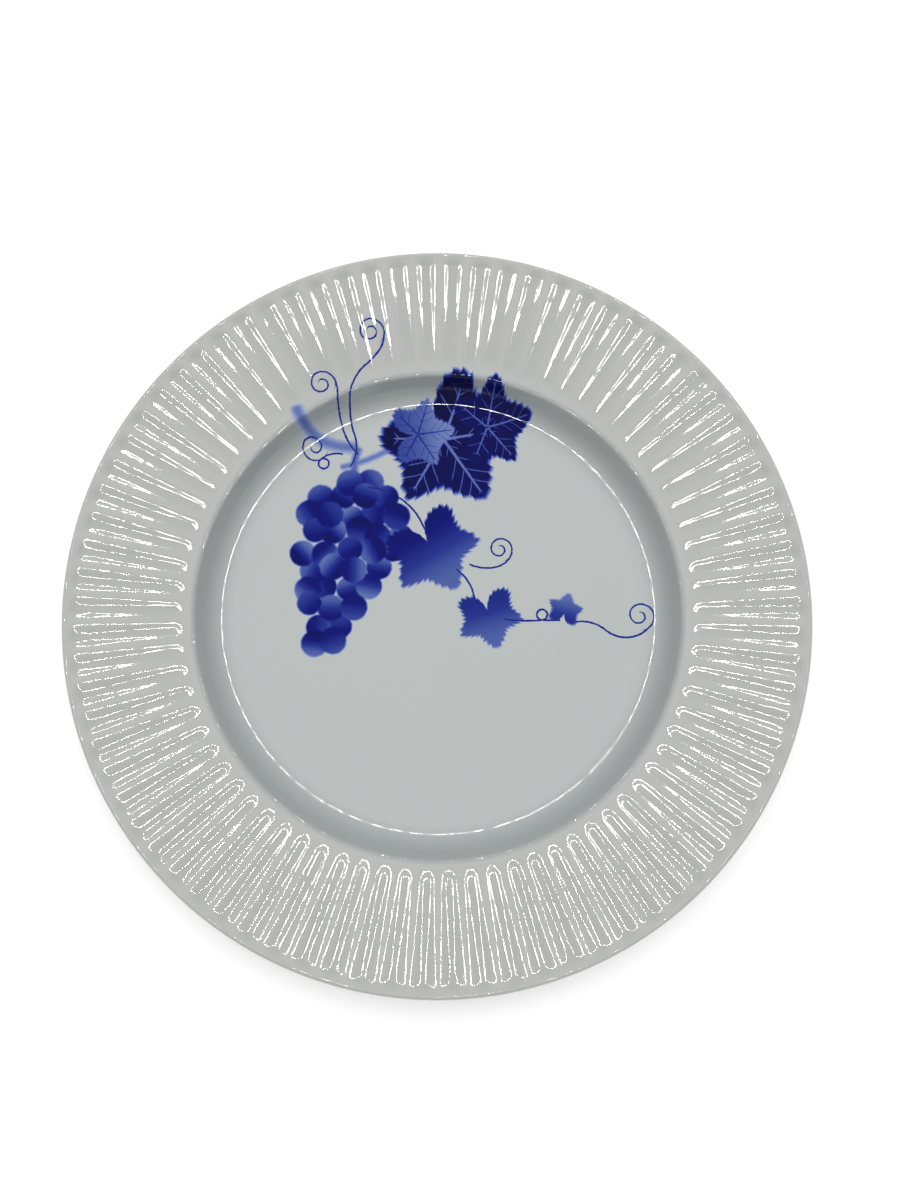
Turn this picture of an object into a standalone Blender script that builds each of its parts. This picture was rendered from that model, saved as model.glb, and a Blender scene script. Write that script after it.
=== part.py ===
"""Fluted porcelain dinner plate: one fired piece with a flat well, a wide fluted rim and a foot ring.

Metres, +Z up. The origin is the middle of the foot ring's resting face, on the plate's axis.
"""

from math import cos, radians, sin, tau

import bmesh
import bpy

# Driving dimensions
PLATE_RADIUS = 0.135
PLATE_HEIGHT = 0.027
FLOOR_RADIUS = 0.0755
FLOOR_HEIGHT = 0.0085
COVE_RADIUS = 0.0130
WELL_WALL_ANGLE = 66
WELL_WALL_LENGTH = 0.0035
WELL_EDGE_ROUNDING = 0.0022
RIM_START_ANGLE = 9
RIM_FLATTENING = 0.1
WALL_THICKNESS = 0.0045
LIP_THICKNESS = 0.0032

FLUTES = 78
FLUTE_DEPTH = 0.00092
FLUTE_DEPTH_GROWTH = 0.45
FLUTE_START_RADIUS = 0.0915
FLUTE_END_RADIUS = 0.1332
FLUTE_RUN_IN = 0.0050
FLUTE_RUN_OUT = 0.0035

FOOT_OUTER_RADIUS = 0.0788
FOOT_INNER_RADIUS = 0.0722
FOOT_FACE_WIDTH = 0.0034
FOOT_CHAMFER = 0.0016
FOOT_RECESS_HEIGHT = 0.0040

# Vertices around each kind of ring: four to a flute, two to a flute, one to a flute
FINE = 4 * FLUTES
MEDIUM = 2 * FLUTES
COARSE = FLUTES

GLAZE_COLOUR = (0.51, 0.545, 0.535, 1.0)
GLAZE_ROUGHNESS = 0.1
SHARP_ANGLE = 30


def clear_scene():
    for existing in list(bpy.data.objects):
        bpy.data.objects.remove(existing, do_unlink=True)


def arc(centre_radius, centre_height, radius, degrees):
    """Points of a round stretch of the profile, as (distance from the axis, height)."""
    points = []
    for angle in degrees:
        turn = radians(angle)
        points.append((centre_radius + radius * sin(turn), centre_height - radius * cos(turn)))
    return points


def well_profile():
    """From the flat floor up the cove and the short wall, and over the rounded well edge."""
    points = arc(FLOOR_RADIUS, FLOOR_HEIGHT + COVE_RADIUS, COVE_RADIUS, (0, 17, 34, 50, WELL_WALL_ANGLE))
    wall_foot = points[-1]
    turn = radians(WELL_WALL_ANGLE)
    wall_top = (
        wall_foot[0] + WELL_WALL_LENGTH * cos(turn),
        wall_foot[1] + WELL_WALL_LENGTH * sin(turn),
    )
    edge_centre = (
        wall_top[0] + WELL_EDGE_ROUNDING * sin(turn),
        wall_top[1] - WELL_EDGE_ROUNDING * cos(turn),
    )
    return points + arc(*edge_centre, -WELL_EDGE_ROUNDING, (WELL_WALL_ANGLE, 38, RIM_START_ANGLE))


EDGE_RADIUS, EDGE_HEIGHT = well_profile()[-1]


def rim_height(radius):
    """Height of the rim between its flutes, a shallow bowl that flattens a little towards the lip."""
    share = (radius - EDGE_RADIUS) / (PLATE_RADIUS - EDGE_RADIUS)
    return EDGE_HEIGHT + (PLATE_HEIGHT - EDGE_HEIGHT) * share * (1 + RIM_FLATTENING * (1 - share))


def ease(share):
    share = max(0.0, min(1.0, share))
    return share * share * (3 - 2 * share)


def flute_depth(radius):
    """Depth of the flutes: none at the well edge and the lip, and growing from the one to the other."""
    run_in = ease((radius - FLUTE_START_RADIUS) / FLUTE_RUN_IN)
    run_out = ease((FLUTE_END_RADIUS - radius) / FLUTE_RUN_OUT)
    along = (radius - FLUTE_START_RADIUS) / (FLUTE_END_RADIUS - FLUTE_START_RADIUS) - 0.5
    return FLUTE_DEPTH * (1 + FLUTE_DEPTH_GROWTH * along) * run_in * run_out


def rim_radii():
    """Where the fluted rim has its rings: closer together along the flutes' run-in and run-out."""
    inner = [FLUTE_START_RADIUS + FLUTE_RUN_IN * share for share in (0, 0.4, 1)]
    outer = [FLUTE_END_RADIUS - FLUTE_RUN_OUT * share for share in (1, 0.4, 0)]
    width = outer[0] - inner[-1]
    between = [inner[-1] + width * share for share in (1 / 3, 2 / 3)]
    return inner + between + outer


def lip_profile():
    """The half-round lip, from its top over to its underside."""
    half = LIP_THICKNESS / 2
    return arc(PLATE_RADIUS - half, PLATE_HEIGHT - half, half, (180, 135, 90, 45, 0))


def underside_profile():
    """Inwards under the rim, around the well, down the foot ring and up into its recess."""
    under_rim = [(0.1160, rim_height(0.1160) - WALL_THICKNESS), (0.0970, rim_height(0.0970) - WALL_THICKNESS)]
    around_well = arc(FLOOR_RADIUS, FLOOR_HEIGHT + COVE_RADIUS, COVE_RADIUS + WALL_THICKNESS, (66, 45, 22))
    foot_face_outer = FOOT_OUTER_RADIUS - FOOT_CHAMFER
    foot_face_inner = foot_face_outer - FOOT_FACE_WIDTH
    foot = [
        (FOOT_OUTER_RADIUS, FOOT_CHAMFER),
        (foot_face_outer, 0.0),
        (foot_face_inner, 0.0),
        (FOOT_INNER_RADIUS, FOOT_CHAMFER),
        (FOOT_INNER_RADIUS - FOOT_CHAMFER, FOOT_RECESS_HEIGHT),
    ]
    return under_rim + around_well + foot


def turned_ring(mesh, radius, height, columns, depth=0.0):
    """A ring of vertices. Flutes sink between their ridges: one lies on +X and a ridge on +Y."""
    ring = []
    for column in range(columns):
        turn = column / columns
        sunk = depth * (0.5 + 0.5 * cos(tau * FLUTES * turn))
        place = (radius * cos(tau * turn), radius * sin(tau * turn), height - sunk)
        ring.append(mesh.verts.new(place))
    return ring


def join_rings(mesh, first, second):
    """Faces between two rings. Where their counts differ, one has twice as many as the other."""
    if len(first) == len(second):
        for i in range(len(first)):
            j = (i + 1) % len(first)
            mesh.faces.new((first[i], first[j], second[j], second[i]))
        return
    few, many = sorted((first, second), key=len)
    for i in range(len(few)):
        j = (i + 1) % len(few)
        start, middle, end = many[2 * i], many[2 * i + 1], many[(2 * i + 2) % len(many)]
        mesh.faces.new((few[i], middle, start))
        mesh.faces.new((few[i], few[j], middle))
        mesh.faces.new((few[j], end, middle))


def build_plate():
    mesh = bmesh.new()
    well = well_profile()
    rings = [turned_ring(mesh, radius, height, COARSE) for radius, height in well[:-2]]
    rings += [turned_ring(mesh, radius, height, MEDIUM) for radius, height in well[-2:]]
    rings += [turned_ring(mesh, r, rim_height(r), FINE, flute_depth(r)) for r in rim_radii()]
    rings += [turned_ring(mesh, radius, height, MEDIUM) for radius, height in lip_profile()]
    rings += [turned_ring(mesh, radius, height, COARSE) for radius, height in underside_profile()]
    for first, second in zip(rings, rings[1:]):
        join_rings(mesh, first, second)
    mesh.faces.new(rings[0])
    mesh.faces.new(rings[-1])
    bmesh.ops.recalc_face_normals(mesh, faces=mesh.faces)

    data = bpy.data.meshes.new("plate")
    mesh.to_mesh(data)
    mesh.free()
    data.shade_smooth()
    data.set_sharp_from_angle(angle=radians(SHARP_ANGLE))
    plate = bpy.data.objects.new("plate", data)
    bpy.context.collection.objects.link(plate)
    return plate


def glaze():
    """Cool white porcelain glaze, fired glossy."""
    material = bpy.data.materials.new("glaze")
    material.use_nodes = True
    surface = material.node_tree.nodes["Principled BSDF"]
    surface.inputs["Base Color"].default_value = GLAZE_COLOUR
    surface.inputs["Roughness"].default_value = GLAZE_ROUGHNESS
    surface.inputs["Metallic"].default_value = 0.0
    return material


clear_scene()
plate = build_plate()
plate.data.materials.append(glaze())
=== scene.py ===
from math import atan2, cos, hypot, pi, radians, sin, tau
from random import Random

import bpy
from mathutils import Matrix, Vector, kdtree


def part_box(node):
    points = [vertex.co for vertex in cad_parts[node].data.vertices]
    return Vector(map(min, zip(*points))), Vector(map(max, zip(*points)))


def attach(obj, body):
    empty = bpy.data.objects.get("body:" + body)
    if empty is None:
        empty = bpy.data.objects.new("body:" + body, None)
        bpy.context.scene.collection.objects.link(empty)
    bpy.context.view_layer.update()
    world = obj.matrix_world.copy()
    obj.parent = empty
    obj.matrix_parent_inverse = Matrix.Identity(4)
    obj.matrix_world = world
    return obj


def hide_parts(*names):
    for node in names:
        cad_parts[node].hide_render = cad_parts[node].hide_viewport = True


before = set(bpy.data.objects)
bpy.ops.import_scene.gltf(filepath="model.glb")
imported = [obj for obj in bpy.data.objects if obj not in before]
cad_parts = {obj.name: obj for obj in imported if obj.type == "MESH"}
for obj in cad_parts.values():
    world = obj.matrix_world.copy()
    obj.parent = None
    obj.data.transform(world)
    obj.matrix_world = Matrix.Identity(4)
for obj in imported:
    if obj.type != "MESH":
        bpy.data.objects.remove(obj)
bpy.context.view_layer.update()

bpy.context.scene.view_settings.view_transform = "Standard"

# ---------------------------------------------------------------------------------------------
# The plate's body: one piece of white porcelain, pressed and turned to a flat coved well, a wide
# fluted rim and a foot ring, then glazed all over and fired. It is drawn as half a section,
# spun round its axis, and then the flutes are sunk into the rim.
# ---------------------------------------------------------------------------------------------
plate_low, plate_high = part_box("plate")
plate_radius = plate_high[0]
plate_height = plate_high[2]

floor_radius = 0.0755
floor_height = 0.0085
cove_radius = 0.0130
wall_angle = 66
wall_length = 0.0035
edge_rounding = 0.0022
rim_start_angle = 9
rim_flattening = 0.1
wall_thickness = 0.0045
lip_thickness = 0.0032

foot_outer_radius = 0.0788
foot_inner_radius = 0.0722
foot_rounding = 0.0013
foot_recess_height = 0.0040
foot_recess_rounding = 0.0015

flutes = 78
columns_per_flute = 14
flute_depth = 0.00092
flute_depth_growth = 0.45
flute_start_radius = 0.0915
flute_end_radius = 0.1332
flute_run_in = 0.0050
flute_run_out = 0.0035
flute_irregularity = 0.05
flute_end_spread = 0.0004
on_surface = 0.0005


def arc(centre, radius, start, end, steps):
    """Points on a round stretch of the section. 0 degrees is straight down, 90 is outwards."""
    points = []
    for step in range(steps + 1):
        turn = radians(start + (end - start) * step / steps)
        points.append((centre[0] + radius * sin(turn), centre[1] - radius * cos(turn)))
    return points


def well_section():
    points = [(0.0, floor_height), (0.03, floor_height), (0.06, floor_height), (0.072, floor_height)]
    cove_centre = (floor_radius, floor_height + cove_radius)
    points += arc(cove_centre, cove_radius, 0, wall_angle, 12)
    turn = radians(wall_angle)
    wall_top = (points[-1][0] + wall_length * cos(turn), points[-1][1] + wall_length * sin(turn))
    edge_centre = (wall_top[0] + edge_rounding * sin(turn), wall_top[1] - edge_rounding * cos(turn))
    return points + arc(edge_centre, -edge_rounding, wall_angle, rim_start_angle, 6)


edge_radius, edge_height = well_section()[-1]


def rim_height(radius):
    share = (radius - edge_radius) / (plate_radius - edge_radius)
    return edge_height + (plate_height - edge_height) * share * (1 + rim_flattening * (1 - share))


def spaced(start, width, steps):
    return [start + width * step / steps for step in range(steps)]


def rim_section():
    """The rim, with its points closest together where the flutes run in and out."""
    middle_start = flute_start_radius + flute_run_in
    outer_start = flute_end_radius - flute_run_out
    radii = spaced(flute_start_radius, flute_run_in, 9)
    radii += spaced(middle_start, outer_start - middle_start, 8)
    radii += spaced(outer_start, flute_run_out, 9)
    return [(radius, rim_height(radius)) for radius in radii]


def underside_section():
    under_rim = [(0.1280, rim_height(0.1280) - 0.0040)]
    under_rim += [(radius, rim_height(radius) - wall_thickness) for radius in (0.1160, 0.1050, 0.0985)]
    around = arc((floor_radius, floor_height + cove_radius), cove_radius + wall_thickness, 70, 20, 6)
    foot = [(foot_outer_radius, 0.0032)]
    foot += arc((foot_outer_radius - foot_rounding, foot_rounding), foot_rounding, 90, 0, 3)
    foot += arc((foot_inner_radius + foot_rounding, foot_rounding), foot_rounding, 0, -90, 3)
    recess_edge = (foot_inner_radius - foot_recess_rounding, foot_recess_height - foot_recess_rounding)
    foot += arc(recess_edge, -foot_recess_rounding, -90, 0, 3)
    return under_rim + around + foot + [(0.04, foot_recess_height), (0.0, foot_recess_height)]


half_lip = lip_thickness / 2
lip_steps = 10
section = well_section() + rim_section()
section += arc((plate_radius - half_lip, plate_height - half_lip), half_lip, 180, 0, lip_steps)
section += underside_section()

bpy.ops.object.select_all(action="DESELECT")
bpy.ops.mesh.primitive_plane_add(size=0.001, location=(0, 0, 0))
plate = bpy.context.active_object
plate.name = plate.data.name = "fluted_plate"
bpy.ops.object.mode_set(mode="EDIT")
bpy.ops.mesh.select_mode(type="VERT")
bpy.ops.mesh.select_all(action="SELECT")
bpy.ops.mesh.merge(type="CENTER")
bpy.ops.transform.translate(value=(section[0][0], 0, section[0][1]))
for here, there in zip(section, section[1:]):
    step = (there[0] - here[0], 0, there[1] - here[1])
    bpy.ops.mesh.extrude_region_move(TRANSFORM_OT_translate={"value": step})
bpy.ops.mesh.select_all(action="SELECT")
bpy.ops.mesh.spin(steps=flutes * columns_per_flute, angle=tau, center=(0, 0, 0), axis=(0, 0, 1))
bpy.ops.mesh.select_all(action="SELECT")
bpy.ops.mesh.remove_doubles(threshold=0.00001)
bpy.ops.mesh.normals_make_consistent(inside=False)
bpy.ops.object.mode_set(mode="OBJECT")

# The run of each ring of points: how far it is along the section from the middle of the well.
section_run = [0.0]
for here, there in zip(section, section[1:]):
    section_run.append(section_run[-1] + hypot(there[0] - here[0], there[1] - here[1]))
lip_run = section_run[len(well_section() + rim_section()) + lip_steps // 2]
section_tree = kdtree.KDTree(len(section))
for index, (radius, height) in enumerate(section):
    section_tree.insert((radius, height, 0), index)
section_tree.balance()
vertex_run = []
for vertex in plate.data.vertices:
    nearest = section_tree.find((hypot(vertex.co.x, vertex.co.y), vertex.co.z, 0))[1]
    vertex_run.append(section_run[nearest])

# Unwrapped as two discs: the face of the plate large, its underside small in the corner.
face_disc = (Vector((0.388, 0.612)), 0.380)
underside_disc = (Vector((0.805, 0.195)), 0.188)
unwrap = plate.data.uv_layers.new(name="OFBake")
for polygon in plate.data.polygons:
    on_face = sum(vertex_run[corner] for corner in polygon.vertices) / len(polygon.vertices) < lip_run
    centre, disc_radius = face_disc if on_face else underside_disc
    for loop in polygon.loop_indices:
        corner = plate.data.loops[loop].vertex_index
        x, y, z = plate.data.vertices[corner].co
        run = vertex_run[corner] if on_face else section_run[-1] - vertex_run[corner]
        full_run = lip_run if on_face else section_run[-1] - lip_run
        turn = atan2(y, x)
        reach = disc_radius * min(run / full_run, 1.0)
        side = 1 if on_face else -1
        unwrap.data[loop].uv = (centre.x + side * reach * cos(turn), centre.y + reach * sin(turn))


def ease(share):
    share = max(0.0, min(1.0, share))
    return share * share * (3 - 2 * share)


hand = Random(78)
flute_lift = [1 + flute_irregularity * hand.uniform(-1, 1) for flute in range(flutes)]
flute_drift = [flute_irregularity * hand.uniform(-1, 1) for flute in range(flutes)]
flute_end = [flute_end_spread * hand.uniform(-1, 1) for flute in range(flutes)]


def flute_share(radius, turn):
    """How deep the flute is at a place, from 0 on a ridge or past its ends to 1 in its middle."""
    place = flutes * turn + 0.5
    flute = int(place // 1) % flutes
    in_flute = place % 1
    in_flute += flute_drift[flute] * in_flute * (1 - in_flute)
    across = 0.5 - 0.5 * cos(tau * in_flute)
    run_in = ease((radius - flute_start_radius) / flute_run_in)
    run_out = ease((flute_end_radius + flute_end[flute] - radius) / flute_run_out)
    along = (radius - flute_start_radius) / (flute_end_radius - flute_start_radius) - 0.5
    depth = (1 + flute_depth_growth * along) * flute_lift[flute] / (1 + flute_depth_growth)
    return across * run_in * run_out * depth


shares = []
for vertex in plate.data.vertices:
    x, y, z = vertex.co
    radius = hypot(x, y)
    in_flutes = flute_start_radius < radius < flute_end_radius + flute_end_spread
    in_flutes = in_flutes and z > rim_height(radius) - on_surface
    shares.append(max(0.0, min(1.0, flute_share(radius, atan2(y, x) / tau))) if in_flutes else 0.0)
fluting = plate.vertex_groups.new(name="fluting")
for index, share in enumerate(shares):
    if share > 0:
        fluting.add([index], share, "REPLACE")
sink = plate.modifiers.new("flutes", "DISPLACE")
sink.direction = "Z"
sink.strength = -flute_depth * (1 + flute_depth_growth)
sink.mid_level = 0.0
sink.vertex_group = "fluting"
bpy.ops.object.modifier_apply(modifier="flutes")
plate.vertex_groups.clear()
# How far each point lies into a flute, kept for the glaze to colour the hollows darker: glaze pooling and
# painted shade.
pooling = plate.data.attributes.new("glaze_pooling", "FLOAT", "POINT")
pooling.data.foreach_set("value", shares)
bpy.ops.object.shade_smooth()

# ---------------------------------------------------------------------------------------------
# The glaze: clear, hard and glossy over white porcelain, fired in one with the body. It pools a
# little greener in the flutes and the cove, and there painted shade darkens it as well; it lies
# in faint waves and holds a few pinholes and iron specks.
# ---------------------------------------------------------------------------------------------


def join(tree, source, socket):
    """Feeds a socket from another socket, or sets it to a plain value."""
    if isinstance(source, bpy.types.NodeSocket):
        tree.links.new(source, socket)
    else:
        socket.default_value = source


def work_out(tree, operation, *terms, clamp=False):
    node = tree.nodes.new("ShaderNodeMath")
    node.operation = operation
    node.use_clamp = clamp
    for term, socket in zip(terms, node.inputs):
        join(tree, term, socket)
    return node.outputs[0]


def work_out_vector(tree, operation, *terms):
    node = tree.nodes.new("ShaderNodeVectorMath")
    node.operation = operation
    for term, socket in zip(terms, node.inputs):
        join(tree, term, socket)
    return node.outputs["Value" if operation == "LENGTH" else "Vector"]


def soften(tree, value, low, high):
    """0 below low, 1 above high and an eased step between."""
    node = tree.nodes.new("ShaderNodeMapRange")
    node.interpolation_type = "SMOOTHSTEP"
    join(tree, value, node.inputs["Value"])
    join(tree, low, node.inputs["From Min"])
    join(tree, high, node.inputs["From Max"])
    return node.outputs["Result"]


def blend(tree, share, low, high):
    """low where the share is 0 and high where it is 1."""
    rise = work_out(tree, "SUBTRACT", high, low)
    return work_out(tree, "MULTIPLY_ADD", rise, share, low)


def mix_colours(tree, share, low, high):
    """The same for two colours."""
    node = tree.nodes.new("ShaderNodeMix")
    node.data_type = "RGBA"
    join(tree, share, node.inputs["Factor"])
    join(tree, low, node.inputs[6])
    join(tree, high, node.inputs[7])
    return node.outputs[2]


def add_bump(tree, surface, height, strength, distance):
    node = tree.nodes.new("ShaderNodeBump")
    node.inputs["Strength"].default_value = strength
    node.inputs["Distance"].default_value = distance
    join(tree, height, node.inputs["Height"])
    join(tree, node.outputs["Normal"], surface.inputs["Normal"])


def start_group(name, inputs, outputs):
    kinds = {"value": "NodeSocketFloat", "vector": "NodeSocketVector", "colour": "NodeSocketColor"}
    group = bpy.data.node_groups.new(name, "ShaderNodeTree")
    for label, kind, value in inputs:
        socket = group.interface.new_socket(name=label, in_out="INPUT", socket_type=kinds[kind])
        if value is not None:
            socket.default_value = value
    for label, kind in outputs:
        group.interface.new_socket(name=label, in_out="OUTPUT", socket_type=kinds[kind])
    given = group.nodes.new("NodeGroupInput").outputs
    result = group.nodes.new("NodeGroupOutput").inputs
    return group, given, result


def place_group(tree, group, **values):
    """Adds a group to a tree. Values go to the sockets of the same names, in small letters."""
    node = tree.nodes.new("ShaderNodeGroup")
    node.node_tree = group
    for socket in node.inputs:
        label = socket.name.lower().replace(" ", "_")
        if label in values:
            join(tree, values[label], socket)
    return node.outputs


def texture(tree, kind, place, **values):
    node = tree.nodes.new(kind)
    join(tree, place, node.inputs["Vector"])
    for label, value in values.items():
        node.inputs[label.replace("_", " ").title()].default_value = value
    return node


porcelain = (0.412, 0.438, 0.433, 1)
rim_porcelain = (0.410, 0.413, 0.402, 1)
# Darker and greener than the body: pooled glaze, and painted shade for the hollows it fills.
pooled_and_shaded_porcelain = (0.312, 0.338, 0.332, 1)
iron_speck = (0.12, 0.10, 0.08, 1)

glaze_group, given, result = start_group(
    "porcelain_glaze",
    [("Place", "vector", None), ("Body Colour", "colour", porcelain),
     ("Rim Colour", "colour", rim_porcelain), ("Pool And Shade Colour", "colour", pooled_and_shaded_porcelain),
     ("Pooling", "value", 0.0), ("Cove Pooling", "value", 0.75), ("Specks", "value", 1.0)],
    [("Colour", "colour"), ("Roughness", "value"), ("Height", "value")])
place = given["Place"]
cloud = texture(glaze_group, "ShaderNodeTexNoise", place, scale=26.0, detail=3.0).outputs["Fac"]
tone = work_out(glaze_group, "MULTIPLY_ADD", cloud, 0.16, -0.08)
flat_place = work_out_vector(glaze_group, "MULTIPLY", place, (1, 1, 0))
from_axis = work_out_vector(glaze_group, "LENGTH", flat_place)
on_rim = soften(glaze_group, from_axis, edge_radius - 0.004, edge_radius + 0.004)
past_edge = soften(glaze_group, from_axis, edge_radius - 0.0008, edge_radius + 0.0008)
# Painted shade with a little glaze pooling: the cove's wall is coloured darker towards the pool colour.
up_cove = soften(glaze_group, from_axis, floor_radius + 0.002, edge_radius - 0.004)
in_cove = work_out(glaze_group, "SUBTRACT", up_cove, past_edge, clamp=True)
tone = work_out(glaze_group, "MULTIPLY_ADD", in_cove, given["Cove Pooling"], tone)
# Painted shade with glaze pooling in the flutes: their hollows are coloured darker too.
tone = work_out(glaze_group, "ADD", tone, given["Pooling"], clamp=True)
clean = mix_colours(glaze_group, on_rim, given["Body Colour"], given["Rim Colour"])
body = mix_colours(glaze_group, tone, clean, given["Pool And Shade Colour"])
grains = texture(glaze_group, "ShaderNodeTexVoronoi", place, scale=95.0)
near = work_out(glaze_group, "LESS_THAN", grains.outputs["Distance"], 0.022)
split = glaze_group.nodes.new("ShaderNodeSeparateColor")
join(glaze_group, grains.outputs["Color"], split.inputs[0])
rare = work_out(glaze_group, "GREATER_THAN", split.outputs[0], 0.93)
speck = work_out(glaze_group, "MULTIPLY", near, rare)
speck = work_out(glaze_group, "MULTIPLY", speck, given["Specks"])
speck = work_out(glaze_group, "MULTIPLY", speck, 0.45)
join(glaze_group, mix_colours(glaze_group, speck, body, iron_speck), result["Colour"])
dulling = texture(glaze_group, "ShaderNodeTexNoise", place, scale=60.0, detail=4.0).outputs["Fac"]
join(glaze_group, work_out(glaze_group, "MULTIPLY_ADD", dulling, 0.03, 0.030), result["Roughness"])
waves = texture(glaze_group, "ShaderNodeTexNoise", place, scale=70.0, detail=1.0).outputs["Fac"]
join(glaze_group, work_out(glaze_group, "MULTIPLY_ADD", speck, -0.2, waves), result["Height"])


def glazed_material(name):
    """The glaze as a material. Returns it with what a painted one needs to add its colour."""
    material = bpy.data.materials.new(name)
    material.use_nodes = True
    tree = material.node_tree
    surface = tree.nodes["Principled BSDF"]
    surface.inputs["IOR"].default_value = 1.55
    coordinates = tree.nodes.new("ShaderNodeTexCoord").outputs["Object"]
    # The flutes' hollows coloured darker: glaze pooling and painted shade.
    flute_pool_and_shade = tree.nodes.new("ShaderNodeAttribute")
    flute_pool_and_shade.attribute_name = "glaze_pooling"
    pool = work_out(tree, "MULTIPLY", flute_pool_and_shade.outputs["Fac"], 0.45)
    glaze = place_group(tree, glaze_group, place=coordinates, pooling=pool)
    join(tree, glaze["Colour"], surface.inputs["Base Color"])
    join(tree, glaze["Roughness"], surface.inputs["Roughness"])
    add_bump(tree, surface, glaze["Height"], strength=0.05, distance=0.0004)
    return material, tree, surface, coordinates, glaze["Colour"]


plain_glaze = glazed_material("clear_glaze")[0]

# ---------------------------------------------------------------------------------------------
# The painting: a fruiting vine in cobalt blue, brushed on the raw body and sealed under the
# glaze, so that its edges bleed a little. Places are in millimetres from the middle of the plate,
# to the right and up. Every stroke takes a sheet and hands it on: its x and y are the place, and
# its z is the ink, which is how much cobalt lies there, from 0 to 1.
# ---------------------------------------------------------------------------------------------
painted_glaze, painting, painted_surface, coordinates, glaze_colour = glazed_material("painted_glaze")
in_millimetres = work_out_vector(painting, "MULTIPLY", coordinates, (1000, 1000, 0))
bleed = texture(painting, "ShaderNodeTexNoise", coordinates, scale=900.0, detail=2.0).outputs["Color"]
bare_sheet = work_out_vector(painting, "MULTIPLY_ADD", bleed, (0.5, 0.5, 0), in_millimetres)


def local_place(tree, place, centre, turn=None, size=None):
    """The place as seen from a centre, turned and sized down, with its two coordinates."""
    vector = work_out_vector(tree, "SUBTRACT", place, centre)
    vector = work_out_vector(tree, "MULTIPLY", vector, (1, 1, 0))
    if turn is not None:
        rotate = tree.nodes.new("ShaderNodeVectorRotate")
        rotate.rotation_type = "Z_AXIS"
        rotate.invert = True
        join(tree, vector, rotate.inputs["Vector"])
        join(tree, turn, rotate.inputs["Angle"])
        vector = rotate.outputs[0]
    if size is not None:
        scale = tree.nodes.new("ShaderNodeVectorMath")
        scale.operation = "SCALE"
        join(tree, vector, scale.inputs[0])
        join(tree, work_out(tree, "DIVIDE", 1.0, size), scale.inputs["Scale"])
        vector = scale.outputs[0]
    length = work_out_vector(tree, "LENGTH", vector)
    axes = tree.nodes.new("ShaderNodeSeparateXYZ")
    join(tree, vector, axes.inputs[0])
    return length, axes.outputs[0], axes.outputs[1]


def ink_on(tree, sheet):
    axes = tree.nodes.new("ShaderNodeSeparateXYZ")
    join(tree, sheet, axes.inputs[0])
    return axes.outputs[2]


def hand_on(tree, sheet, ink, result):
    """Puts the sheet out again with new ink on it."""
    axes = tree.nodes.new("ShaderNodeSeparateXYZ")
    join(tree, sheet, axes.inputs[0])
    combined = tree.nodes.new("ShaderNodeCombineXYZ")
    for term, socket in zip((axes.outputs[0], axes.outputs[1], ink), combined.inputs):
        join(tree, term, socket)
    join(tree, combined.outputs[0], result["Sheet"])


berry_group, given, result = start_group(
    "painted_berry",
    [("Sheet", "vector", None), ("Centre", "vector", None), ("Radius", "value", 4.8),
     ("Light Turn", "value", 0.0), ("Pale", "value", 0.4), ("Deep", "value", 0.8)],
    [("Sheet", "vector")])
reach, toward, _ = local_place(
    berry_group, given["Sheet"], given["Centre"], given["Light Turn"], given["Radius"])
disc = work_out(berry_group, "SUBTRACT", 1.0, soften(berry_group, reach, 0.90, 1.14))
shade = soften(berry_group, toward, 0.95, -0.70)
berry_ink = blend(berry_group, shade, given["Pale"], given["Deep"])
berry_ink = blend(berry_group, disc, ink_on(berry_group, given["Sheet"]), berry_ink)
hand_on(berry_group, given["Sheet"], berry_ink, result)

vein_group, given, result = start_group(
    "leaf_vein",
    [("Along Leaf", "value", 0.0), ("Across Leaf", "value", 0.0), ("Turn", "value", 0.0),
     ("Length", "value", 1.0), ("Side Veins", "value", 4.0)],
    [("Line", "value")])
cosine = work_out(vein_group, "COSINE", given["Turn"])
sine = work_out(vein_group, "SINE", given["Turn"])
along = work_out(vein_group, "ADD", work_out(vein_group, "MULTIPLY", given["Along Leaf"], cosine),
                 work_out(vein_group, "MULTIPLY", given["Across Leaf"], sine))
across = work_out(vein_group, "SUBTRACT", work_out(vein_group, "MULTIPLY", given["Across Leaf"], cosine),
                  work_out(vein_group, "MULTIPLY", given["Along Leaf"], sine))
across = work_out(vein_group, "ABSOLUTE", across)
share = work_out(vein_group, "DIVIDE", along, given["Length"])
past_stem = soften(vein_group, share, 0.0, 0.04)
before_tip = soften(vein_group, share, 1.0, 0.9)
present = work_out(vein_group, "MULTIPLY", past_stem, before_tip)
half_width = work_out(vein_group, "MULTIPLY_ADD", share, -0.012, 0.020)
main_line = soften(vein_group, work_out(vein_group, "SUBTRACT", across, half_width), 0.012, -0.006)
bowed = work_out(vein_group, "MULTIPLY", work_out(vein_group, "POWER", across, 0.8), 0.85)
rank = work_out(vein_group, "SUBTRACT", share, bowed)
rank = work_out(vein_group, "MULTIPLY", rank, given["Side Veins"])
in_rank = work_out(vein_group, "FRACT", rank)
off_line = work_out(vein_group, "ABSOLUTE", work_out(vein_group, "SUBTRACT", in_rank, 0.5))
side_line = soften(vein_group, off_line, 0.070, 0.030)
within = soften(vein_group, work_out(vein_group, "DIVIDE", across, along), 0.48, 0.40)
side_line = work_out(vein_group, "MULTIPLY", side_line, within)
side_line = work_out(vein_group, "MULTIPLY", side_line, soften(vein_group, rank, 0.1, 0.3))
line = work_out(vein_group, "MAXIMUM", main_line, work_out(vein_group, "MULTIPLY", side_line, 0.8))
join(vein_group, work_out(vein_group, "MULTIPLY", line, present), result["Line"])

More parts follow.
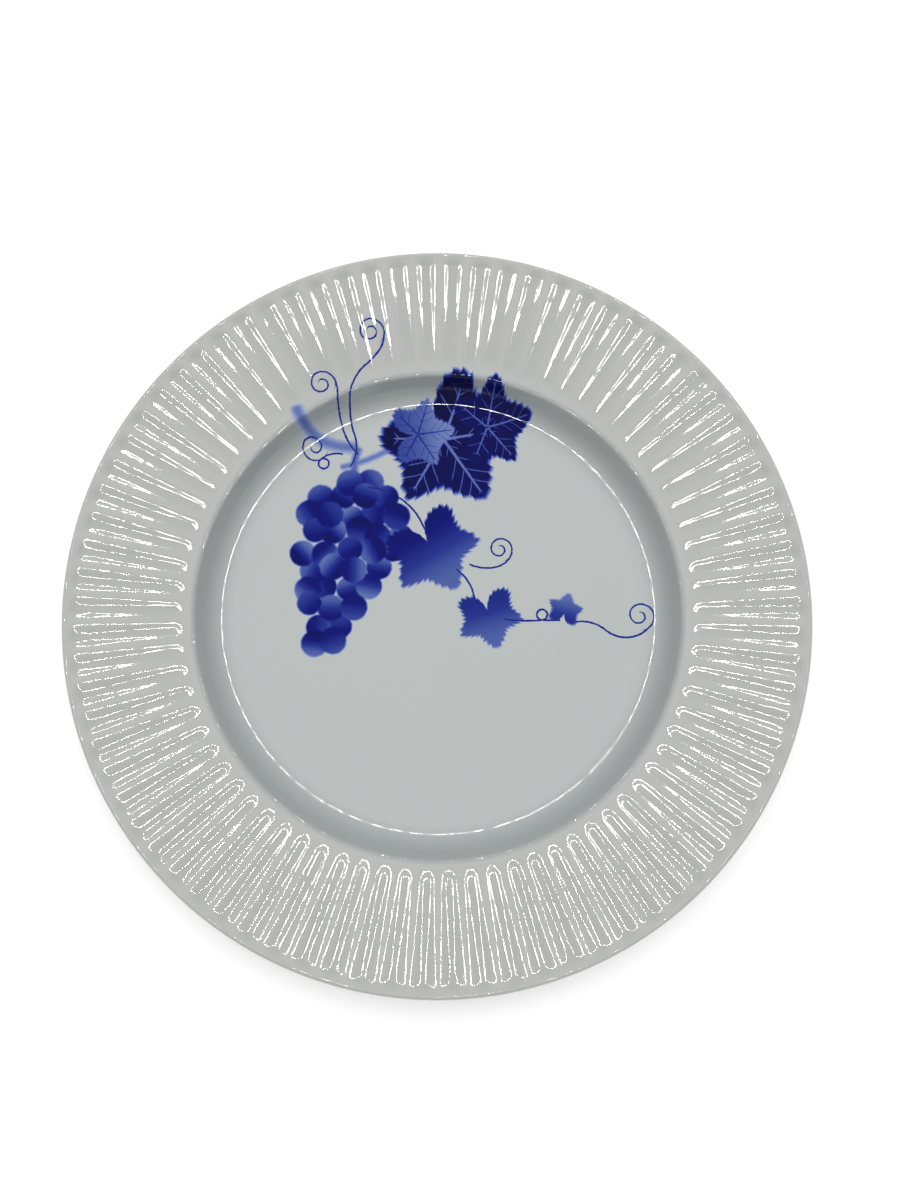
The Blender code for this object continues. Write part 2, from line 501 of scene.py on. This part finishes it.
leaf_group, given, result = start_group(
    "vine_leaf",
    [("Sheet", "vector", None), ("Centre", "vector", None), ("Turn", "value", 0.0),
     ("Size", "value", 20.0), ("Pale", "value", 0.4), ("Deep", "value", 0.8), ("Vein Ink", "value", 0.5),
     ("Vein Strength", "value", 0.0), ("Softness", "value", 0.04), ("Toothing", "value", 0.055)],
    [("Sheet", "vector")])
reach, along_leaf, across_leaf = local_place(
    leaf_group, given["Sheet"], given["Centre"], given["Turn"], given["Size"])
across_leaf = work_out(leaf_group, "ABSOLUTE", across_leaf)
from_tip = work_out(leaf_group, "DIVIDE", work_out(leaf_group, "ARCTAN2", across_leaf, along_leaf), pi)
outline = leaf_group.nodes.new("ShaderNodeFloatCurve")
join(leaf_group, from_tip, outline.inputs["Value"])
# Half the leaf's edge, from its tip at 0 past its side lobes to the notch at the stem at 1.
leaf_edge = [(0.0, 1.0), (0.05, 0.88), (0.13, 0.74), (0.20, 0.66), (0.27, 0.74), (0.36, 0.95),
             (0.42, 0.84), (0.51, 0.67), (0.59, 0.70), (0.70, 0.84),
             (0.79, 0.74), (0.88, 0.52), (0.96, 0.22), (1.0, 0.08)]
curve = outline.mapping.curves[0]
for index, (turn, radius) in enumerate(leaf_edge):
    if index == 0:
        curve.points[0].location = (turn, radius)
    elif index == len(leaf_edge) - 1:
        curve.points[-1].location = (turn, radius)
    else:
        curve.points.new(turn, radius)
for point in curve.points:
    if point.location[0] in (0.0, 1.0) or abs(point.location[0] - 0.36) < 0.001:
        point.handle_type = "VECTOR"
outline.mapping.update()
tooth = work_out(leaf_group, "FRACT", work_out(leaf_group, "MULTIPLY", from_tip, 21.0))
tooth = work_out(leaf_group, "MULTIPLY", work_out(leaf_group, "SUBTRACT", tooth, 0.5), given["Toothing"])
edge = work_out(leaf_group, "ADD", outline.outputs[0], tooth)
gap = work_out(leaf_group, "SUBTRACT", edge, reach)
outside = work_out(leaf_group, "MULTIPLY", given["Softness"], -1.0)
inside = soften(leaf_group, gap, outside, given["Softness"])
tone = blend(leaf_group, soften(leaf_group, along_leaf, -0.5, 0.85), given["Deep"], given["Pale"])
veins = 0.0
leaf_veins = [(0.0, 0.92, 5.0), (0.36 * pi, 0.84, 4.0), (0.70 * pi, 0.70, 3.0)]
for vein_turn, vein_length, side_veins in leaf_veins:
    line = place_group(leaf_group, vein_group, along_leaf=along_leaf, across_leaf=across_leaf,
                       turn=vein_turn, length=vein_length, side_veins=side_veins)["Line"]
    veins = work_out(leaf_group, "MAXIMUM", line, veins)
veins = work_out(leaf_group, "MULTIPLY", veins, given["Vein Strength"])
tone = blend(leaf_group, veins, tone, given["Vein Ink"])
leaf_ink = blend(leaf_group, inside, ink_on(leaf_group, given["Sheet"]), tone)
hand_on(leaf_group, given["Sheet"], leaf_ink, result)

stroke_group, given, result = start_group(
    "brush_stroke",
    [("Sheet", "vector", None), ("Centre", "vector", None), ("Radius", "value", 5.0),
     ("Middle Turn", "value", 0.0), ("Half Sweep", "value", 1.0), ("Half Width", "value", 0.3),
     ("Softness", "value", 0.2), ("Strength", "value", 0.7)],
    [("Sheet", "vector")])
reach, x, y = local_place(stroke_group, given["Sheet"], given["Centre"], given["Middle Turn"])
off_line = work_out(stroke_group, "ABSOLUTE", work_out(stroke_group, "SUBTRACT", reach, given["Radius"]))
off_line = work_out(stroke_group, "SUBTRACT", off_line, given["Half Width"])
full_ink = work_out(stroke_group, "MULTIPLY", given["Softness"], -0.5)
line = soften(stroke_group, off_line, given["Softness"], full_ink)
from_middle = work_out(stroke_group, "ABSOLUTE", work_out(stroke_group, "ARCTAN2", y, x))
past_end = work_out(stroke_group, "SUBTRACT", from_middle, given["Half Sweep"])
past_end = work_out(stroke_group, "MULTIPLY", past_end, given["Radius"])
line = work_out(stroke_group, "MULTIPLY", line, soften(stroke_group, past_end, given["Softness"], 0.0))
line = work_out(stroke_group, "MULTIPLY", line, given["Strength"])
line = work_out(stroke_group, "MAXIMUM", ink_on(stroke_group, given["Sheet"]), line)
hand_on(stroke_group, given["Sheet"], line, result)

curl_group, given, result = start_group(
    "tendril_curl",
    [("Sheet", "vector", None), ("Centre", "vector", None), ("Radius", "value", 4.0),
     ("Start Turn", "value", 0.0), ("Hand", "value", 1.0), ("Coils", "value", 2.0),
     ("Half Width", "value", 0.25), ("Strength", "value", 0.7)],
    [("Sheet", "vector")])
reach, x, y = local_place(curl_group, given["Sheet"], given["Centre"], given["Start Turn"])
around = work_out(curl_group, "ARCTAN2", work_out(curl_group, "MULTIPLY", y, given["Hand"]), x)
inwards = work_out(curl_group, "SUBTRACT", 1.0, work_out(curl_group, "DIVIDE", reach, given["Radius"]))
wound = work_out(curl_group, "MULTIPLY", work_out(curl_group, "MULTIPLY", inwards, given["Coils"]), tau)
coil_offset = work_out(curl_group, "DIVIDE", work_out(curl_group, "SUBTRACT", wound, around), tau)
coil_offset = work_out(curl_group, "SUBTRACT", coil_offset, work_out(curl_group, "ROUND", coil_offset))
spacing = work_out(curl_group, "DIVIDE", given["Radius"], given["Coils"])
off_line = work_out(curl_group, "MULTIPLY", work_out(curl_group, "ABSOLUTE", coil_offset), spacing)
off_line = work_out(curl_group, "SUBTRACT", off_line, given["Half Width"])
line = soften(curl_group, off_line, 0.2, -0.1)
line = work_out(curl_group, "MULTIPLY", line, soften(curl_group, wound, -0.5, -0.2))
line = work_out(curl_group, "MULTIPLY", line, soften(curl_group, inwards, 0.80, 0.74))
line = work_out(curl_group, "MULTIPLY", line, given["Strength"])
line = work_out(curl_group, "MAXIMUM", ink_on(curl_group, given["Sheet"]), line)
hand_on(curl_group, given["Sheet"], line, result)


def stroke(sheet, start, heading, bends, half_width=0.3, softness=0.22, strength=0.74, curl=None):
    """A brushed line of round bends, each (radius, sweep in degrees, + to the left), and its curl."""
    place, heading = Vector((start[0], start[1], 0)), radians(heading)
    for radius, sweep in bends:
        side = 1 if sweep > 0 else -1
        sweep = radians(sweep)
        centre = place + radius * Vector((-sin(heading), cos(heading), 0)) * side
        begin = heading - side * pi / 2
        sheet = place_group(painting, stroke_group, sheet=sheet, centre=centre, radius=radius,
                            middle_turn=begin + sweep / 2, half_sweep=abs(sweep) / 2,
                            half_width=half_width, softness=softness, strength=strength)["Sheet"]
        place = centre + radius * Vector((cos(begin + sweep), sin(begin + sweep), 0))
        heading += sweep
    if curl:
        radius, side, coils = curl
        centre = place + radius * Vector((-sin(heading), cos(heading), 0)) * side
        sheet = place_group(painting, curl_group, sheet=sheet, centre=centre, radius=radius,
                            start_turn=heading - side * pi / 2, hand=side, coils=coils,
                            half_width=half_width * 0.9, strength=strength)["Sheet"]
    return sheet


def leaf(sheet, centre, turn, size, pale, deep, **others):
    return place_group(painting, leaf_group, sheet=sheet, centre=(centre[0], centre[1], 0),
                       turn=radians(turn), size=size, pale=pale, deep=deep, **others)["Sheet"]


sheet = bare_sheet
sheet = stroke(sheet, (-53, 76), -70, [(16, 55), (40, 14)], half_width=1.4, softness=2.6, strength=0.40)
sheet = stroke(sheet, (-37, 57), 12, [(60, 24)], half_width=0.7, softness=1.6, strength=0.40)
sheet = stroke(sheet, (-31, 64), -110, [(24, 50), (20, -30)], half_width=1.0, softness=1.8, strength=0.45)
sheet = leaf(sheet, (2, 68), -55, 29, 0.90, 0.98, vein_ink=0.40, vein_strength=1.0, softness=0.055)
sheet = leaf(sheet, (19, 73), 15, 18, 0.93, 0.90, vein_ink=0.42, vein_strength=0.9, softness=0.06)
sheet = leaf(sheet, (-8, 70), 8, 15, 0.34, 0.58, vein_ink=0.85, vein_strength=0.6, softness=0.05)

berry_rows = [(-30, 51, 2), (-32, 45, 4), (-33, 38, 5), (-31, 31, 5), (-34, 24, 5), (-36, 17, 4),
              (-38, 10, 4), (-40, 3, 3), (-42, -4, 2), (-43, -11, 2)]
berry_spacing = 8.3
brush = Random(29)
berries = []
for row_x, row_y, count in berry_rows:
    for index in range(count):
        x = row_x + (index - (count - 1) / 2) * berry_spacing + brush.uniform(-1.1, 1.1)
        y = row_y + brush.uniform(-1.3, 1.3)
        berries.append((x, y, brush.uniform(4.5, 5.2), brush.uniform(0, tau), brush.uniform(0.36, 0.66)))
brush.shuffle(berries)
for x, y, radius, light_turn, pale in berries:
    sheet = place_group(painting, berry_group, sheet=sheet, centre=(x, y, 0), radius=radius,
                        light_turn=light_turn, pale=pale, deep=brush.uniform(0.80, 0.90))["Sheet"]

sheet = leaf(sheet, (-3, 26), -58, 20, 0.46, 0.84, softness=0.05, toothing=0.07)
sheet = leaf(sheet, (19, 0), -75, 14, 0.46, 0.72, softness=0.06, toothing=0.09)
sheet = leaf(sheet, (48, 1), 75, 7.5, 0.42, 0.70, softness=0.09, toothing=0.11)

sheet = stroke(sheet, (-27, 49), -5, [(26, -45), (20, -15), (30, 12)])
sheet = stroke(sheet, (7, 17), -35, [(16, -42), (12, 48)])
sheet = stroke(sheet, (25, -2), -8, [(60, 14), (2.0, 350), (50, 8)])
sheet = stroke(sheet, (52, -3), 10, [(14, -50), (12, 95)], curl=(5.5, 1, 1.7))
sheet = stroke(sheet, (12, 19), -24, [(16, 38), (8, 60)], curl=(4.8, 1, 1.7))
sheet = stroke(sheet, (-31, 62), 135, [(24, -50), (12, 35)], curl=(5.0, 1, 1.7))
sheet = stroke(sheet, (-34, 57), 58, [(15, 52), (22, -72), (13, 55)], curl=(5.2, 1, 1.8))
sheet = stroke(sheet, (-37, 62), 165, [(9, 60), (2.0, 345)], curl=(5.2, -1, 1.7))

ink = ink_on(painting, sheet)
cobalt = painting.nodes.new("ShaderNodeValToRGB")
cobalt.color_ramp.interpolation = "LINEAR"
washes = [(0.0, (0.412, 0.438, 0.433)), (0.14, (0.29, 0.34, 0.44)), (0.30, (0.156, 0.205, 0.428)),
          (0.46, (0.065, 0.100, 0.310)), (0.64, (0.016, 0.029, 0.225)), (0.80, (0.0035, 0.006, 0.145)),
          (0.92, (0.003, 0.004, 0.068)), (1.0, (0.003, 0.003, 0.028))]
for index, (amount, colour) in enumerate(washes):
    if index < 2:
        stop = cobalt.color_ramp.elements[index]
        stop.position = amount
    else:
        stop = cobalt.color_ramp.elements.new(amount)
    stop.color = (*colour, 1)
join(painting, ink, cobalt.inputs["Fac"])
painted = mix_colours(painting, soften(painting, ink, 0.0, 0.12), glaze_colour, cobalt.outputs["Color"])
join(painting, painted, painted_surface.inputs["Base Color"])

# ---------------------------------------------------------------------------------------------
# The foot face: the ring that the plate stands on, wiped clean of glaze before firing. It is bare,
# dry and slightly sandy.
# ---------------------------------------------------------------------------------------------
bare_foot = bpy.data.materials.new("bare_foot")
bare_foot.use_nodes = True
tree = bare_foot.node_tree
surface = tree.nodes["Principled BSDF"]
place = tree.nodes.new("ShaderNodeTexCoord").outputs["Object"]
sand = texture(tree, "ShaderNodeTexNoise", place, scale=1800.0, detail=4.0).outputs["Fac"]
grime = texture(tree, "ShaderNodeTexNoise", place, scale=140.0, detail=3.0).outputs["Fac"]
bare_clay, stained_clay = (0.56, 0.54, 0.49, 1), (0.38, 0.34, 0.28, 1)
biscuit = mix_colours(tree, work_out(tree, "MULTIPLY", sand, grime), bare_clay, stained_clay)
join(tree, biscuit, surface.inputs["Base Color"])
join(tree, work_out(tree, "MULTIPLY_ADD", sand, 0.2, 0.68), surface.inputs["Roughness"])
add_bump(tree, surface, sand, strength=0.4, distance=0.0002)

plate.data.materials.clear()
for material in (plain_glaze, painted_glaze, bare_foot):
    plate.data.materials.append(material)
painted_low, painted_high = (-0.064, -0.022), (0.086, 0.122)
for polygon in plate.data.polygons:
    x, y, z = polygon.center
    in_picture = painted_low[0] < x < painted_high[0] and painted_low[1] < y < painted_high[1]
    if in_picture and polygon.normal.z > 0.1:
        polygon.material_index = 1
    elif z < on_surface:
        polygon.material_index = 2
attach(plate, "root")
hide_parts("plate")

# ---------------------------------------------------------------------------------------------
# The studio: a white paper floor, a wide soft light above, a ring of small lamps that shows only
# in the glaze, and a camera close above the plate.
# ---------------------------------------------------------------------------------------------
bpy.ops.object.select_all(action="DESELECT")
bpy.ops.mesh.primitive_circle_add(vertices=64, radius=3.0, fill_type="NGON", location=(0, 0, 0))
table = bpy.context.active_object
table.name = "floor"
paper = bpy.data.materials.new("floor_paper")
paper.use_nodes = True
paper_face = paper.node_tree.nodes["Principled BSDF"]
paper_face.inputs["Base Color"].default_value = (0.95, 0.95, 0.95, 1)
paper_face.inputs["Roughness"].default_value = 0.9
table.data.materials.append(paper)

world = bpy.data.worlds.new("studio")
bpy.context.scene.world = world
world.use_nodes = True
sky = world.node_tree
sky.nodes["Background"].inputs["Color"].default_value = (1, 1, 1, 1)
ray = sky.nodes.new("ShaderNodeLightPath").outputs
sky_strength, sky_seen_strength, sky_mirrored_strength = 0.43, 1.0, 0.11
strength = blend(sky, ray["Is Camera Ray"], sky_strength, sky_seen_strength)
strength = blend(sky, ray["Is Glossy Ray"], strength, sky_mirrored_strength)
join(sky, strength, sky.nodes["Background"].inputs["Strength"])

bpy.ops.object.light_add(type="AREA", location=(0, 0.3, 1.5), rotation=(radians(-11), 0, 0))
tent = bpy.context.active_object
tent.name = "light_tent"
tent.data.shape = "DISK"
tent.data.size = 1.8
tent.data.energy = 26
tent.visible_glossy = False

lamps = 60
lamp_width, lamp_length = 0.0050, 0.018
lamp_strength = 150
lamp_ring_radius = 0.232
lamp_ring_centre = Vector((0, 0.075, 0.348))
bpy.ops.object.select_all(action="DESELECT")
bpy.ops.mesh.primitive_plane_add(size=1, location=lamp_ring_centre + Vector((lamp_ring_radius, 0, 0)))
ring = bpy.context.active_object
ring.name = "lamp_ring"
bpy.ops.object.mode_set(mode="EDIT")
bpy.ops.mesh.select_all(action="SELECT")
bpy.ops.transform.resize(value=(lamp_width, lamp_length, 1), center_override=tuple(ring.location))
bpy.ops.mesh.spin(steps=lamps, dupli=True, angle=tau, center=tuple(lamp_ring_centre), axis=(0, 0, 1))
bpy.ops.object.mode_set(mode="OBJECT")
bpy.ops.object.transform_apply(location=True, rotation=True, scale=True)
glow = bpy.data.materials.new("lamp_glow")
glow.use_nodes = True
lamp_face = glow.node_tree.nodes["Principled BSDF"]
lamp_face.inputs["Base Color"].default_value = (0, 0, 0, 1)
lamp_face.inputs["Emission Color"].default_value = (1, 1, 1, 1)
lamp_face.inputs["Emission Strength"].default_value = lamp_strength
ring.data.materials.append(glow)
ring.visible_camera = False
ring.visible_shadow = False
ring.visible_diffuse = False

camera_data = bpy.data.cameras.new("camera")
camera_data.lens = 27
camera_data.sensor_width = 36
camera = bpy.data.objects.new("camera", camera_data)
bpy.context.collection.objects.link(camera)
camera.location = (0.0005, -0.0354, 0.3478)
camera.rotation_euler = (radians(6.8), radians(-0.63), 0)
bpy.context.scene.camera = camera
